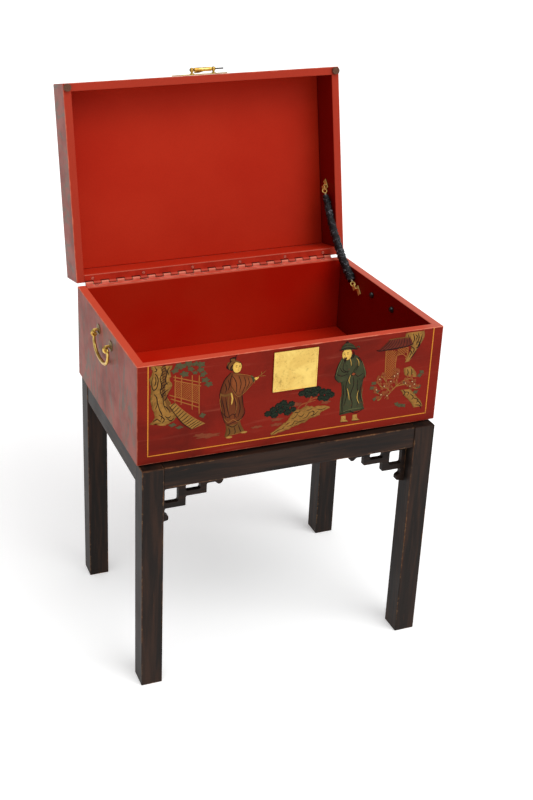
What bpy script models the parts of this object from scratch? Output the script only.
# A red lacquered chest with a hinged lid, standing open on a dark four-legged stand.
# All sizes are in metres. X runs across the chest, Y from its front to its back, Z up.
# The origin lies on the floor, under the middle of the whole object's bounding box.

import math

import bmesh
import bpy
from mathutils import Matrix, Vector

# ---- driving dimensions ----
clearance = 0.0003

chest_width = 0.457
chest_depth = 0.305
chest_height = 0.148
chest_wall = 0.0125
chest_floor_thickness = 0.009
chest_floor_rise = 0.0195  # from the boards' lower edges to the floor's underside
lid_height = 0.062
lid_panel_thickness = 0.008
lid_panel_inset = 0.0005
lid_open_angle = math.radians(101.7)
board_edge = 0.0009

stand_height = 0.360
stand_side_inset = 0.004  # the chest overhangs the stand by this much at each end
stand_front_reach = 0.0108  # the stand shows in front of the chest by this much
stand_back_inset = 0.001
leg_size = 0.032
rail_height = 0.0325
rail_thickness = 0.025
rail_setback = 0.001
tenon_length = 0.010
tenon_thickness = 0.010
tenon_shoulder = 0.006
stand_edge = 0.0010
platform_thickness = 0.012
platform_rise = 0.0037
block_leg = 0.044
block_height = 0.016

fret_width = 0.094
fret_drop = 0.065
fret_thickness = 0.008
fret_bar = 0.0095
fret_foot = 0.0068  # the bar that runs down along the leg
fret_first_step = 0.038
fret_first_drop = 0.043
fret_second_step = 0.0693
fret_second_drop = 0.0278
fret_strip_drop = 0.0126
fret_knob = 0.0045
fret_corner = 0.0012
fret_hollow = 0.0028  # the rounding of its inner corners and of its windows

knuckle_radius = 0.0022
knuckle_pitch = 0.0127
knuckle_gap = 0.0007
knuckle_notch = 0.0004  # room in a leaf's edge round the other leaf's knuckles
hinge_left_gap = 0.0005
hinge_right_gap = 0.013
hinge_overhang = 0.001
hinge_leaf_thickness = 0.0009
hinge_leaf_sink = 0.00005  # how far the leaf lies inside its own knuckles
hinge_leaf_setback = 0.0008
hinge_leaf_trim = 0.0002
hinge_pin_radius = 0.0010

plate_width = 0.066
plate_height = 0.060
plate_thickness = 0.0012
plate_drop = 0.005
plate_rim = 0.0016
plate_rim_rise = 0.0004

handle_spacing = 0.062
handle_drop = 0.026  # from the chest's rim down to the line that the bail swings about
handle_standoff = 0.0062
hook_radius = 0.0021
hook_end_angle = -112  # where the hook's curl stops, in degrees up from straight out
bail_radius = 0.0021
bail_swell = 0.28  # how much thicker the bail is at its middle
bail_drop = 0.030
bail_bend = 0.0045
bail_overhang = 0.0054
rosette_radius = 0.008
rosette_thickness = 0.0024
rosette_edge = 0.0008
nut_radius = 0.0048
nut_height = 0.0050

bumper_radius = 0.0058
bumper_inset = 0.0064
bumper_rest_gap = 0.0006  # between the shut lid's bumper and the chest

lock_plate_width = 0.076
lock_plate_height = 0.046
lock_plate_lift = 0.004  # from the lid's rim to the plate's lower edge
lock_pivot_lift = 0.012
lock_pivot_standoff = 0.0085
lock_post_spacing = 0.036
lock_post_radius = 0.0019
lock_post_head = 0.0036
lock_post_foot = 0.0009
lock_pin_radius = 0.0011
lock_pin_tail = 0.013
hasp_barrel_radius = 0.0032
hasp_length = 0.030
hasp_root_width = 0.018
hasp_tip_width = 0.009
hasp_thickness = 0.0022

stay_upper_reach = 0.1085  # from the hinge line forward to the ring, with the lid shut
stay_upper_depth = 0.026  # from the lid's rim up to the ring, with the lid shut
stay_lower_reach = 0.074
stay_lower_depth = 0.024
stay_sag = 0.010
stay_cord_radius = 0.0015
sleeve_radius_upper = 0.0040
sleeve_radius_lower = 0.0052
sleeve_end_gap = 0.0025
ring_radius = 0.0038
ring_wire = 0.0009
lug_standoff = 0.0072
lug_thickness = 0.0012
lug_width = 0.008
lug_hole = 0.0015
lug_rise = 0.006  # from the hole's middle to the bracket's shoulder
bracket_plate_length = 0.015
bracket_plate_below = 0.35  # the part of the plate's length that lies below the shoulder

cutter_overshoot = 0.005

# ---- sizes that follow ----
stand_width = chest_width - 2 * stand_side_inset
stand_depth = chest_depth + stand_front_reach - stand_back_inset
hinge_axis_height = clearance + knuckle_radius
hinge_length = chest_width - 2 * chest_wall - hinge_left_gap - hinge_right_gap
hinge_left = hinge_left_gap + chest_wall - chest_width / 2
hinge_right = hinge_left + hinge_length
knuckle_count = 2 * int(hinge_length / (2 * knuckle_pitch)) + 1
knuckle_length = hinge_length / knuckle_count

sine, cosine = math.sin(lid_open_angle), math.cos(lid_open_angle)
lid_reach_back = (hinge_axis_height + lid_height) * sine - (chest_depth + hinge_overhang) * cosine
overall_depth = stand_front_reach + chest_depth + hinge_overhang + lid_reach_back
stand_front = -overall_depth / 2
stand_back = stand_front + stand_depth
chest_middle = stand_front + stand_front_reach + chest_depth / 2
platform_top = stand_height + platform_rise
chest_bottom = platform_top + clearance

for old in list(bpy.data.objects):
    bpy.data.objects.remove(old, do_unlink=True)


# ---- materials ----
def make_material(name, colour, roughness, metallic=0.0):
    made = bpy.data.materials.new(name)
    made.use_nodes = True
    shader = made.node_tree.nodes["Principled BSDF"]
    shader.inputs["Base Color"].default_value = (*colour, 1.0)
    shader.inputs["Roughness"].default_value = roughness
    shader.inputs["Metallic"].default_value = metallic
    return made


red_lacquer = make_material("red_lacquer", (0.30, 0.020, 0.010), 0.35)
dark_wood = make_material("dark_wood", (0.030, 0.018, 0.012), 0.45)
bare_wood = make_material("bare_wood", (0.23, 0.13, 0.06), 0.7)
brass = make_material("brass", (0.78, 0.57, 0.20), 0.3, 1.0)
painted_brass = make_material("painted_brass", (0.38, 0.04, 0.02), 0.4, 0.3)
blackened_steel = make_material("blackened_steel", (0.03, 0.03, 0.03), 0.45, 0.8)
cork = make_material("cork", (0.24, 0.10, 0.05), 0.85)
black_fabric = make_material("black_fabric", (0.02, 0.02, 0.025), 0.9)
cotton_cord = make_material("cotton_cord", (0.5, 0.45, 0.35), 0.9)


# ---- building tools ----
def add_object(name, data, look, parent=None, location=(0, 0, 0), rotation=(0, 0, 0)):
    made = bpy.data.objects.new(name, data)
    data.materials.append(look)
    bpy.context.scene.collection.objects.link(made)
    made.parent = parent
    made.location = location
    made.rotation_euler = rotation
    return made


def add_empty(name, parent=None, location=(0, 0, 0), rotation=(0, 0, 0)):
    made = bpy.data.objects.new(name, None)
    bpy.context.scene.collection.objects.link(made)
    made.empty_display_size = 0.02
    made.parent = parent
    made.location = location
    made.rotation_euler = rotation
    return made


def mesh_from(name, shape):
    bmesh.ops.recalc_face_normals(shape, faces=shape.faces)
    mesh = bpy.data.meshes.new(name)
    shape.to_mesh(mesh)
    shape.free()
    return mesh


def shade_round(mesh, angle=math.radians(35)):
    mesh.shade_smooth()
    mesh.set_sharp_from_angle(angle=angle)


def round_edges(target, width, chosen=None):
    """Rounds every sharp edge, or only those whose two end points the function chosen picks."""
    bevel = target.modifiers.new("edges", "BEVEL")
    bevel.width = width
    bevel.segments = 2
    bevel.limit_method = "ANGLE"
    if chosen:
        bevel.limit_method = "WEIGHT"
        points = [vertex.co for vertex in target.data.vertices]
        weights = target.data.attributes.new("bevel_weight_edge", "FLOAT", "EDGE")
        for edge, weight in zip(target.data.edges, weights.data):
            weight.value = float(chosen(points[edge.vertices[0]], points[edge.vertices[1]]))


def cut(target, cutter, operation="DIFFERENCE"):
    cutter.hide_render = True
    cutter.display_type = "WIRE"
    boolean = target.modifiers.new(cutter.name, "BOOLEAN")
    boolean.operation = operation
    boolean.object = cutter


def slab(name, outline, low, high, look, parent=None, plane="xy", edge=0.0, chosen=None, **place):
    """An outline in one plane, carried along the plane's normal from low to high."""
    order = {"xy": (0, 1, 2), "xz": (0, 2, 1), "yz": (1, 2, 0)}[plane]
    shape = bmesh.new()
    rings = []
    for level in (low, high):
        ring = []
        for first, second in outline:
            point = [0.0, 0.0, 0.0]
            point[order[0]] = first
            point[order[1]] = second
            point[order[2]] = level
            ring.append(shape.verts.new(point))
        rings.append(ring)
        shape.faces.new(ring)
    for i, start in enumerate(rings[0]):
        following = (i + 1) % len(outline)
        shape.faces.new((start, rings[0][following], rings[1][following], rings[1][i]))
    made = add_object(name, mesh_from(name, shape), look, parent, **place)
    if edge:
        round_edges(made, edge, chosen)
    return made


def rectangle(low, high):
    return [(low[0], low[1]), (high[0], low[1]), (high[0], high[1]), (low[0], high[1])]


def block(name, low, high, look, parent=None, edge=0.0, **place):
    return slab(name, rectangle(low, high), low[2], high[2], look, parent, edge=edge, **place)


def rounded(corners, steps=3):
    """An outline whose corners (first, second, radius) are rounded by quadratic arcs."""
    outline = []
    for i, (first, second, radius) in enumerate(corners):
        corner = Vector((first, second))
        before = Vector(corners[i - 1][:2])
        after = Vector(corners[(i + 1) % len(corners)][:2])
        if radius == 0:
            outline.append(tuple(corner))
            continue
        start = corner + (before - corner).normalized() * radius
        end = corner + (after - corner).normalized() * radius
        for step in range(steps + 1):
            share = step / steps
            point = start.lerp(corner, share).lerp(corner.lerp(end, share), share)
            outline.append(tuple(point))
    return outline


def turned(name, profile, look, parent=None, sides=16, **place):
    """A profile of (radius, height) points turned about the object's own Z axis."""
    shape = bmesh.new()
    rings = []
    for radius, height in profile:
        if radius == 0:
            rings.append([shape.verts.new((0, 0, height))] * sides)
            continue
        ring = []
        for i in range(sides):
            angle = 2 * math.pi * i / sides
            ring.append(shape.verts.new((radius * math.cos(angle), radius * math.sin(angle), height)))
        rings.append(ring)
    for lower, upper in zip(rings, rings[1:]):
        for i in range(sides):
            after = (i + 1) % sides
            corners = list(dict.fromkeys((lower[i], lower[after], upper[after], upper[i])))
            if len(corners) > 2:
                shape.faces.new(corners)
    bmesh.ops.remove_doubles(shape, verts=shape.verts, dist=1e-6)
    made = add_object(name, mesh_from(name, shape), look, parent, **place)
    shade_round(made.data)
    return made


def cylinder(name, radius, low, high, look, parent=None, sides=12, **place):
    profile = [(0, low), (radius, low), (radius, high), (0, high)]
    return turned(name, profile, look, parent, sides, **place)


def bent_rod(name, points, radius, look, parent=None, sides=3, radii=None, closed=False):
    """A round rod along the points, which may change its radius on the way."""
    curve = bpy.data.curves.new(name, "CURVE")
    curve.dimensions = "3D"
    curve.bevel_depth = radius
    curve.bevel_resolution = sides
    curve.use_fill_caps = not closed
    spline = curve.splines.new("POLY")
    spline.points.add(len(points) - 1)
    for i, point in enumerate(points):
        spline.points[i].co = (*point, 1)
        spline.points[i].radius = radii[i] if radii else 1.0
    spline.use_cyclic_u = closed
    spline.use_smooth = True
    return add_object(name, curve, look, parent)


def arc_points(centre, across, up, radius, start, end, steps):
    """Points on an arc in the plane of two unit vectors, with angles in degrees."""
    points = []
    for i in range(steps + 1):
        angle = math.radians(start + (end - start) * i / steps)
        points.append(centre + across * radius * math.cos(angle) + up * radius * math.sin(angle))
    return points


# ---- stand ----
def make_legs():
    half = stand_width / 2
    for front, y in (("front", stand_front), ("back", stand_back - leg_size)):
        for side, x in (("left", -half), ("right", half - leg_size)):
            name = f"leg_{front}_{side}"
            low = (x, y, 0)
            high = (x + leg_size, y + leg_size, stand_height)
            leg = block(name, low, high, dark_wood, edge=stand_edge)
            for mortise in mortise_cutters(name, x, y, side, front):
                cut(leg, mortise)


def mortise_cutters(name, x, y, side, front):
    """One hole for the front or back rail's tenon and one for the side rail's tenon."""
    play = clearance
    low_z = stand_height - rail_height + tenon_shoulder - play
    high_z = stand_height - tenon_shoulder + play
    inward_x = x + leg_size if side == "left" else x
    toward_x = -1 if side == "left" else 1
    inward_y = y + leg_size if front == "front" else y
    toward_y = -1 if front == "front" else 1
    rail_y, rail_x = rail_centres(front, side)
    half = tenon_thickness / 2 + play
    depth = tenon_length + play
    ends_x = sorted((inward_x - toward_x * play * 2, inward_x + toward_x * depth))
    ends_y = sorted((inward_y - toward_y * play * 2, inward_y + toward_y * depth))
    across = block(f"{name}_mortise_x", (ends_x[0], rail_y - half, low_z),
                   (ends_x[1], rail_y + half, high_z), dark_wood)
    along = block(f"{name}_mortise_y", (rail_x - half, ends_y[0], low_z),
                  (rail_x + half, ends_y[1], high_z), dark_wood)
    return across, along


def rail_centres(front, side):
    """The Y of a front or back rail's middle, and the X of a side rail's middle."""
    inset = rail_setback + rail_thickness / 2
    y = stand_front + inset if front == "front" else stand_back - inset
    x = -stand_width / 2 + inset if side == "left" else stand_width / 2 - inset
    return y, x


def make_rails():
    low_z = stand_height - rail_height
    half_rail = rail_thickness / 2
    half_tenon = tenon_thickness / 2
    tenon_low, tenon_high = low_z + tenon_shoulder, stand_height - tenon_shoulder
    end_x = stand_width / 2 - leg_size - clearance
    for front in ("front", "back"):
        y = rail_centres(front, "left")[0]
        rail = block(f"rail_{front}", (-end_x, y - half_rail, low_z), (end_x, y + half_rail, stand_height),
                     dark_wood, edge=stand_edge)
        tenon = block(f"rail_{front}_tenon", (-end_x - tenon_length, y - half_tenon, tenon_low),
                      (end_x + tenon_length, y + half_tenon, tenon_high), dark_wood)
        cut(rail, tenon, "UNION")
    start_y = stand_front + leg_size + clearance
    end_y = stand_back - leg_size - clearance
    for side in ("left", "right"):
        x = rail_centres("front", side)[1]
        rail = block(f"rail_{side}", (x - half_rail, start_y, low_z), (x + half_rail, end_y, stand_height),
                     dark_wood, edge=stand_edge)
        tenon = block(f"rail_{side}_tenon", (x - half_tenon, start_y - tenon_length, tenon_low),
                      (x + half_tenon, end_y + tenon_length, tenon_high), dark_wood)
        cut(rail, tenon, "UNION")


def fret_outline():
    """The stepped bracket, with X away from the leg and Z down from the rail."""
    knob_foot = fret_strip_drop + fret_knob
    knob_side = fret_foot + 1.3 * fret_knob
    return rounded([
        (0, 0, 0),
        (fret_width, 0, 0),
        (fret_width, -fret_strip_drop, fret_corner),
        (fret_width - 0.8 * fret_knob, -knob_foot, 1.5 * fret_corner),
        (fret_width - 1.7 * fret_knob, -knob_foot, 1.5 * fret_corner),
        (fret_width - 2.7 * fret_knob, -fret_strip_drop, fret_corner),
        (fret_second_step, -fret_strip_drop, fret_hollow),
        (fret_second_step, -fret_second_drop, fret_corner),
        (fret_first_step, -fret_second_drop, fret_hollow),
        (fret_first_step, -fret_first_drop, fret_corner),
        (fret_foot, -fret_first_drop, fret_hollow),
        (fret_foot, -fret_drop + 2.9 * fret_knob, fret_corner),
        (knob_side, -fret_drop + 2.1 * fret_knob, 1.5 * fret_corner),
        (knob_side, -fret_drop + 0.6 * fret_knob, 1.5 * fret_corner),
        (0, -fret_drop, fret_corner),
    ])


def make_fret(name, at_left, y):
    """One bracket, cut through by a square window and a small one beside it."""
    face = stand_width / 2 - leg_size - clearance
    toward = 1 if at_left else -1
    start = -face if at_left else face
    top = stand_height - rail_height - clearance
    outline = [(start + toward * x, top + z) for x, z in fret_outline()]
    fret = slab(name, outline, y, y + fret_thickness, dark_wood, plane="xz")
    windows = (
        (fret_foot, fret_first_step - 1.15 * fret_bar, -1.25 * fret_bar, -fret_first_drop + 0.9 * fret_bar),
        (fret_first_step, fret_second_step - fret_bar, -fret_bar, -fret_second_drop + 0.8 * fret_bar),
    )
    for number, (near, far, high, low) in enumerate(windows):
        soft = min(fret_hollow, 0.4 * (high - low))
        corners = rounded([(near, low, soft), (far, low, soft), (far, high, soft), (near, high, soft)])
        hole = [(start + toward * x, top + z) for x, z in corners]
        window = slab(f"{name}_window_{number}", hole, y - cutter_overshoot,
                      y + fret_thickness + cutter_overshoot, dark_wood, plane="xz")
        cut(fret, window)


def make_frets():
    front_y = stand_front + rail_setback + rail_thickness - fret_thickness
    back_y = stand_back - rail_setback - rail_thickness
    for front, y in (("front", front_y), ("back", back_y)):
        make_fret(f"fret_{front}_left", True, y)
        make_fret(f"fret_{front}_right", False, y)


def make_platform():
    """The inset board that carries the chest, notched round the legs, on four corner blocks."""
    inset = rail_setback + rail_thickness + clearance
    notch = leg_size + clearance
    left, right = -stand_width / 2, stand_width / 2
    outline = []
    for x_side, y_side, order in (
        (left, stand_front, 0), (right, stand_front, 1), (right, stand_back, 0), (left, stand_back, 1)
    ):
        toward_x = 1 if x_side == left else -1
        toward_y = 1 if y_side == stand_front else -1
        corner = [
            (x_side + toward_x * inset, y_side + toward_y * notch),
            (x_side + toward_x * notch, y_side + toward_y * notch),
            (x_side + toward_x * notch, y_side + toward_y * inset),
        ]
        outline += corner[::-1] if order else corner
    slab("platform", outline, platform_top - platform_thickness, platform_top, dark_wood, edge=stand_edge)
    for front, y_side, toward_y in (("front", stand_front, 1), ("back", stand_back, -1)):
        for side, x_side, toward_x in (("left", left, 1), ("right", right, -1)):
            shape = [
                (inset, notch + block_leg), (inset, notch), (notch, notch), (notch, inset),
                (notch + block_leg, inset),
            ]
            corners = [(x_side + toward_x * a, y_side + toward_y * b) for a, b in shape]
            top = platform_top - platform_thickness - clearance
            slab(f"corner_block_{front}_{side}", corners, top - block_height, top, bare_wood)


# ---- boards of the chest and of the lid ----
def along_a_board(first, second):
    """True for the long edges of a board, which are level and don't run along a mitre."""
    step = second - first
    mitre = abs(abs(step.x) - abs(step.y)) < 1e-5 and step.length > chest_wall
    return abs(step.z) < 1e-6 and not mitre


def corner_round(corner_x, corner_y, toward_x, toward_y):
    """Half of the rounded corner that two mitred boards share, from the mitre to the face along X."""
    points = []
    for step in range(3):
        angle = math.radians(45 + 22.5 * step)
        points.append((
            corner_x + toward_x * board_edge * (1 - math.cos(angle)),
            corner_y + toward_y * board_edge * (1 - math.sin(angle)),
        ))
    return points


def make_frame(prefix, low, high, parent, front, back):
    """Four mitred boards round the chest's outline, from one height to another."""
    half_x = chest_width / 2
    split = clearance / 2
    boards = {}
    for side, y, toward in (("front", front, 1), ("back", back, -1)):
        near = [(x + split, y) for x, y in corner_round(-half_x, y, 1, toward)]
        far = [(-x, y) for x, y in reversed(near)]
        inner = half_x - chest_wall - split
        outline = near + far + [(inner, y + toward * chest_wall), (-inner, y + toward * chest_wall)]
        boards[side] = slab(f"{prefix}_{side}", outline, low, high, red_lacquer, parent,
                            edge=board_edge, chosen=along_a_board)
    middle = (front + back) / 2
    for side, x, toward in (("left", -half_x, 1), ("right", half_x, -1)):
        turned_corner = corner_round(front, x, 1, toward)
        near = [(x, y + split) for y, x in turned_corner]
        far = [(x, 2 * middle - y) for x, y in reversed(near)]
        inner_x = x + toward * chest_wall
        outline = near + far + [(inner_x, back - chest_wall - split), (inner_x, front + chest_wall + split)]
        boards[side] = slab(f"{prefix}_{side}", outline, low, high, red_lacquer, parent,
                            edge=board_edge, chosen=along_a_board)
    return boards


def panel_between(name, low, high, parent, front, back):
    inset = chest_wall + clearance
    half_x = chest_width / 2 - inset
    return block(name, (-half_x, front + inset, low), (half_x, back - inset, high), red_lacquer, parent,
                 edge=board_edge)


# ---- hinge ----
def knuckle_place(i):
    return Matrix.Translation((hinge_left + knuckle_length * (i + 0.5), 0, 0))


def make_hinge_leaf(name, parent, look, first, below):
    """A leaf on the rim with every second knuckle, in the frame of the hinge line."""
    under = -1 if below else 1
    leaf_out = under * (knuckle_radius - hinge_leaf_sink)
    low_z, high_z = sorted((leaf_out, leaf_out - under * hinge_leaf_thickness))
    leaf_front = hinge_leaf_setback - hinge_overhang - chest_wall
    leaf = block(name, (hinge_left, leaf_front, low_z), (hinge_right, -hinge_leaf_trim, high_z), look, parent)
    lying = Matrix.Rotation(math.pi / 2, 4, "Y")
    barrels = bmesh.new()
    for i in range(first, knuckle_count, 2):
        bmesh.ops.create_cone(barrels, cap_ends=True, segments=10, radius1=knuckle_radius,
                              radius2=knuckle_radius, depth=knuckle_length - knuckle_gap,
                              matrix=knuckle_place(i) @ lying)
    joined = add_object(f"{name}_barrels", mesh_from(f"{name}_barrels", barrels), look, parent)
    cut(leaf, joined, "UNION")
    bore = cylinder(f"{name}_bore", hinge_pin_radius + clearance, hinge_left - cutter_overshoot,
                    hinge_right + cutter_overshoot, look, parent, sides=8, rotation=(0, math.pi / 2, 0))
    cut(leaf, bore)
    # The other leaf's knuckles turn in slots in this leaf's edge.
    slots = bmesh.new()
    deep = 2 * (knuckle_radius + knuckle_notch)
    size = Matrix.Diagonal((knuckle_length + knuckle_gap, deep, 2 * deep, 1))
    for i in range(1 - first, knuckle_count, 2):
        bmesh.ops.create_cube(slots, size=1.0, matrix=knuckle_place(i) @ size)
    slotted = add_object(f"{name}_slots", mesh_from(f"{name}_slots", slots), look, parent)
    cut(leaf, slotted)
    return leaf


# ---- brass plates ----
def make_plate(name, half_width, low, high, face, parent):
    """A plate on a front face, with a thin raised rim; the face looks toward -Y."""
    back = face - clearance
    front = back - plate_thickness
    plate = block(name, (-half_width, front - plate_rim_rise, low), (half_width, back, high), brass, parent)
    inside = block(f"{name}_field", (-half_width + plate_rim, front - cutter_overshoot, low + plate_rim),
                   (half_width - plate_rim, front, high - plate_rim), brass, parent)
    cut(plate, inside)
    return plate


# ---- bail handles ----
def make_handle(side, chest, boards):
    """Two hooks through the end board, each with a rosette and a nut, and the bail that hangs in them."""
    outward = -1 if side == "left" else 1
    out = Vector((outward, 0, 0))
    along = Vector((0, 1, 0))
    up = Vector((0, 0, 1))
    face = outward * chest_width / 2
    pivot = Vector((face + outward * handle_standoff, 0, chest_height - handle_drop))
    loop = hook_radius + bail_radius + clearance
    bore = hook_radius + clearance
    rosette = [
        (bore, clearance), (rosette_radius, clearance), (rosette_radius, clearance + rosette_edge),
        (rosette_radius * 0.72, clearance + 1.6 * rosette_edge), (rosette_radius * 0.5, rosette_thickness),
        (bore, rosette_thickness), (bore, clearance),
    ]
    nut = [
        (bore, 0), (nut_radius, 0), (nut_radius, nut_height * 0.35), (nut_radius * 0.8, nut_height * 0.75),
        (nut_radius * 0.4, nut_height), (0, nut_height), (0, nut_height * 0.75), (bore, nut_height * 0.7),
        (bore, 0),
    ]
    for place, y in (("front", -handle_spacing / 2), ("back", handle_spacing / 2)):
        centre = pivot + along * y
        inner_end = centre + up * loop - out * (handle_standoff + chest_wall + nut_height * 0.5)
        neck = arc_points(centre, out, up, loop, 90, hook_end_angle, 14)
        bent_rod(f"handle_hook_{side}_{place}", [inner_end] + neck, hook_radius, brass, chest, sides=2)
        foot = (face, centre.y, centre.z + loop)
        hole = cylinder(f"hook_hole_{side}_{place}", bore, -cutter_overshoot, chest_wall + cutter_overshoot,
                        brass, chest, location=foot, rotation=(0, -outward * math.pi / 2, 0))
        cut(boards[side], hole)
        turned(f"handle_rosette_{side}_{place}", rosette, brass, chest, location=foot,
               rotation=(0, outward * math.pi / 2, 0))
        inner_foot = (face - outward * (chest_wall + clearance), foot[1], foot[2])
        turned(f"handle_nut_{side}_{place}", nut, blackened_steel, chest, location=inner_foot,
               rotation=(0, -outward * math.pi / 2, 0))
    swing = add_empty(f"bail_{side}_swing", chest, tuple(pivot))
    make_bail(f"bail_{side}", swing)


def make_bail(name, swing):
    """A round-bottomed U that hangs from its turned-in ends, in the frame of the line it swings about."""
    reach = handle_spacing / 2
    arm = reach + bail_overhang
    belly = bail_drop - bail_bend
    across, up = Vector((0, 1, 0)), Vector((0, 0, 1))
    half = [across * (reach - hook_radius - 2 * bail_radius)]
    half += arc_points(across * (arm - bail_bend) - up * bail_bend, across, up, bail_bend, 90, 0, 5)
    radii = [1.0] * len(half)
    steps = 9
    for i in range(1, steps + 1):
        turn = math.pi / 2 * i / steps
        # Between an ellipse and a box, so the sides drop steeply and the bottom stays round.
        sideways, down = math.cos(turn) ** 0.8, math.sin(turn) ** 0.8
        half.append(across * arm * sideways - up * (bail_bend + belly * down))
        radii.append(1.0 + bail_swell * down)
    mirrored = [Vector((0, -point.y, point.z)) for point in reversed(half[:-1])]
    bent_rod(name, half + mirrored, bail_radius, brass, swing, sides=3, radii=radii + radii[-2::-1])


# ---- lock on the lid ----
def make_lock(lid, lid_front):
    """Two eyed posts on a plate hold a sliding pin, and the hasp turns on the pin."""
    rim = hinge_axis_height
    make_plate("lock_plate", lock_plate_width / 2, rim + lock_plate_lift,
               rim + lock_plate_lift + lock_plate_height, lid_front, lid)
    pivot_y = lid_front - lock_pivot_standoff
    pivot_z = rim + lock_pivot_lift
    foot = lock_pivot_standoff - clearance - plate_thickness - clearance
    eye = lock_pin_radius + clearance
    for place, x in (("left", -lock_post_spacing / 2), ("right", lock_post_spacing / 2)):
        head = [
            (lock_post_head * math.sin(a), lock_post_head * -math.cos(a))
            for a in (math.radians(40 + 140 * i / 7) for i in range(7))
        ]
        profile = [
            (0, -foot), (lock_post_head, -foot), (lock_post_head, -foot + lock_post_foot),
            (lock_post_radius, -foot + 1.5 * lock_post_foot), (lock_post_radius, head[0][1] - clearance),
        ]
        post = turned(f"lock_post_{place}", profile + head + [(0, lock_post_head)], brass, lid,
                      location=(x, pivot_y, pivot_z), rotation=(math.pi / 2, 0, 0))
        hole = cylinder(f"lock_post_{place}_eye", eye, -cutter_overshoot, cutter_overshoot, brass, lid,
                        location=(x, pivot_y, pivot_z), rotation=(0, math.pi / 2, 0))
        cut(post, hole)

    # The hasp leans on the plate, so its tongue is turned by the angle that closes the drop.
    fall = lock_pivot_standoff - 2 * clearance - plate_thickness - plate_rim_rise - hasp_thickness
    lean = math.asin(fall / hasp_length)
    swing = add_empty("hasp_swing", lid, (0, pivot_y, pivot_z), (-lean, 0, 0))
    barrel_half = lock_post_spacing / 2 - lock_post_head - clearance
    barrel = cylinder("hasp", hasp_barrel_radius, -barrel_half, barrel_half, brass, swing,
                      rotation=(0, math.pi / 2, 0))
    outline = rounded([
        (-hasp_root_width / 2, 0, 0), (hasp_root_width / 2, 0, 0),
        (hasp_tip_width / 2, hasp_length, hasp_tip_width * 0.4),
        (-hasp_tip_width / 2, hasp_length, hasp_tip_width * 0.4),
    ])
    tongue = slab("hasp_tongue", outline, -hasp_thickness / 2, hasp_thickness / 2, brass, swing, plane="xz")
    cut(barrel, tongue, "UNION")
    bore = cylinder("hasp_bore", eye, -barrel_half - cutter_overshoot, barrel_half + cutter_overshoot, brass,
                    swing, rotation=(0, math.pi / 2, 0))
    cut(barrel, bore)
    pin_start = -lock_post_spacing / 2 - lock_post_head * 0.6
    pin_end = lock_post_spacing / 2 + lock_post_head + lock_pin_tail
    cylinder("lock_pin", lock_pin_radius, pin_start, pin_end, blackened_steel, lid,
             location=(0, pivot_y, pivot_z), rotation=(0, math.pi / 2, 0))


# ---- stay ----
def make_bracket(name, parent, location, rotation):
    """A plate on the right-hand wall whose lug is turned down, away from it, to take a ring."""
    half_lug = lug_thickness / 2
    back = lug_standoff - half_lug - clearance
    base = back - lug_thickness
    plate_low = lug_rise - bracket_plate_below * bracket_plate_length
    plate_high = plate_low + bracket_plate_length
    outline = [
        (-half_lug, -lug_hole * 2), (half_lug, -lug_hole * 2), (half_lug, lug_rise - lug_thickness),
        (base, lug_rise - lug_thickness), (base, plate_low), (back, plate_low), (back, plate_high),
        (base, plate_high), (base, lug_rise), (-half_lug, lug_rise),
    ]
    bracket = slab(name, outline, -lug_width / 2, lug_width / 2, brass, parent, plane="xz",
                   location=location, rotation=rotation)
    hole = cylinder(f"{name}_hole", lug_hole, -2 * lug_thickness, 2 * lug_thickness, brass, parent, sides=10)
    hole.location = location
    turned_down = Matrix.Rotation(rotation[0], 3, "X") @ Matrix.Rotation(math.pi / 2, 3, "Y")
    hole.rotation_euler = turned_down.to_euler()
    cut(bracket, hole)
    return bracket


def ring_points(centre, direction):
    return arc_points(centre, Vector((1, 0, 0)), direction, ring_radius, 0, 360 * 15 / 16, 15)


def make_stay(chest, lid_swing):
    """A cord in a padded sleeve between a ring on the chest's wall and a ring on the lid's wall."""
    x = chest_width / 2 - chest_wall - lug_standoff
    hinge = Vector(lid_swing.location)
    lower = Vector((x, hinge.y - stay_lower_reach, chest_height - stay_lower_depth))
    shut = Vector((0, -stay_upper_reach, hinge_axis_height + stay_upper_depth))
    opened = Matrix.Rotation(-lid_open_angle, 3, "X") @ shut
    upper = Vector((x, hinge.y + opened.y, hinge.z + opened.z))
    pull = (upper - lower).normalized()

    # The lower lug points forward and up so that its free edge faces the pull.
    pull_angle = math.atan2(pull.y, pull.z)
    make_bracket("stay_bracket_lower", chest, tuple(lower), (math.pi - pull_angle, 0, 0))
    bent_rod("stay_ring_lower", ring_points(lower + pull * ring_radius, pull), ring_wire, brass, chest,
             sides=1, closed=True)
    held = add_empty("stay_upper_place", lid_swing, (x, shut.y, shut.z), (lid_open_angle, 0, 0))
    make_bracket("stay_bracket_upper", held, (0, 0, 0), (-pull_angle, 0, 0))
    bent_rod("stay_ring_upper", ring_points(-pull * ring_radius, pull), ring_wire, brass, held,
             sides=1, closed=True)

    gap = 2 * ring_radius + ring_wire + clearance
    start, end = lower + pull * gap, upper - pull * gap
    droop = Vector((0, pull.z, -pull.y)) * stay_sag

    def route(share):
        return start.lerp(end, share) + droop * 4 * share * (1 - share)

    steps = 14
    shares = [i / steps for i in range(steps + 1)]
    bent_rod("stay_cord", [route(share) for share in shares], stay_cord_radius, cotton_cord, chest, sides=1)
    trim = sleeve_end_gap / (end - start).length
    inner = stay_cord_radius + clearance
    make_sleeve([route(trim + (1 - 2 * trim) * share) for share in shares], shares, inner, chest)


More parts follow.
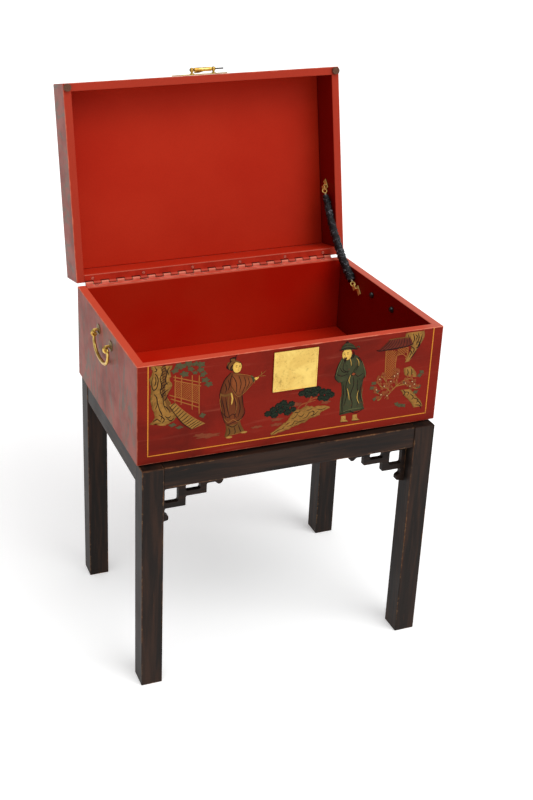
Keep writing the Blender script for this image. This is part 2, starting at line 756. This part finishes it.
def make_sleeve(points, shares, inner, chest):
    """An open-ended tube round the cord, a little thicker toward its lower end."""
    sides = 12
    shape = bmesh.new()
    across = Vector((1, 0, 0))
    rings = []
    for i, point in enumerate(points):
        heading = (points[min(i + 1, len(points) - 1)] - points[max(i - 1, 0)]).normalized()
        other = heading.cross(across).normalized()
        full = sleeve_radius_lower + (sleeve_radius_upper - sleeve_radius_lower) * shares[i]
        end_taper = 0.72 if i in (0, len(points) - 1) else 1.0
        for radius in (full * end_taper, inner):
            ring = []
            for side in range(sides):
                angle = 2 * math.pi * side / sides
                place = point + (across * math.cos(angle) + other * math.sin(angle)) * radius
                ring.append(shape.verts.new(place))
            rings.append(ring)
    outer, bore = rings[0::2], rings[1::2]
    strips = list(zip(outer, outer[1:])) + list(zip(bore, bore[1:]))
    strips += [(outer[0], bore[0]), (outer[-1], bore[-1])]
    for first, second in strips:
        for side in range(sides):
            after = (side + 1) % sides
            shape.faces.new((first[side], first[after], second[after], second[side]))
    sleeve = add_object("stay_sleeve", mesh_from("stay_sleeve", shape), black_fabric, chest)
    shade_round(sleeve.data)


# ---- assembly ----
def make_stand():
    make_legs()
    make_rails()
    make_frets()
    make_platform()


def make_chest():
    chest = add_empty("chest_place", None, (0, chest_middle, chest_bottom))
    front, back = -chest_depth / 2, chest_depth / 2
    boards = make_frame("box", 0, chest_height, chest, front, back)
    floor_top = chest_floor_rise + chest_floor_thickness
    panel_between("box_floor", chest_floor_rise, floor_top, chest, front, back)
    make_plate("front_plate", plate_width / 2, chest_height - plate_drop - plate_height,
               chest_height - plate_drop, front, chest)
    for side in ("left", "right"):
        make_handle(side, chest, boards)
    return chest


def make_lid(chest):
    hinge_place = (0, chest_depth / 2 + hinge_overhang, chest_height + hinge_axis_height)
    hinge_line = add_empty("hinge_line", chest, hinge_place)
    swing = add_empty("lid_swing", chest, hinge_place, (-lid_open_angle, 0, 0))
    back = -hinge_overhang
    front = back - chest_depth
    low, high = hinge_axis_height, hinge_axis_height + lid_height
    make_frame("lid", low, high, swing, front, back)
    panel_top = high - lid_panel_inset
    panel_between("lid_panel", panel_top - lid_panel_thickness, panel_top, swing, front, back)
    make_hinge_leaf("hinge_leaf_box", hinge_line, painted_brass, 0, True)
    make_hinge_leaf("hinge_leaf_lid", swing, painted_brass, 1, False)
    cylinder("hinge_pin", hinge_pin_radius, hinge_left, hinge_right, painted_brass, hinge_line,
             sides=10, rotation=(0, math.pi / 2, 0))
    bumper_foot = bumper_rest_gap - hinge_axis_height
    for side, toward in (("left", -1), ("right", 1)):
        cylinder(f"bumper_{side}", bumper_radius, bumper_foot, low - clearance, cork, swing, sides=20,
                 location=(toward * (chest_width / 2 - bumper_inset), front + bumper_inset, 0))
    make_lock(swing, front)
    make_stay(chest, swing)


make_stand()
make_lid(make_chest())
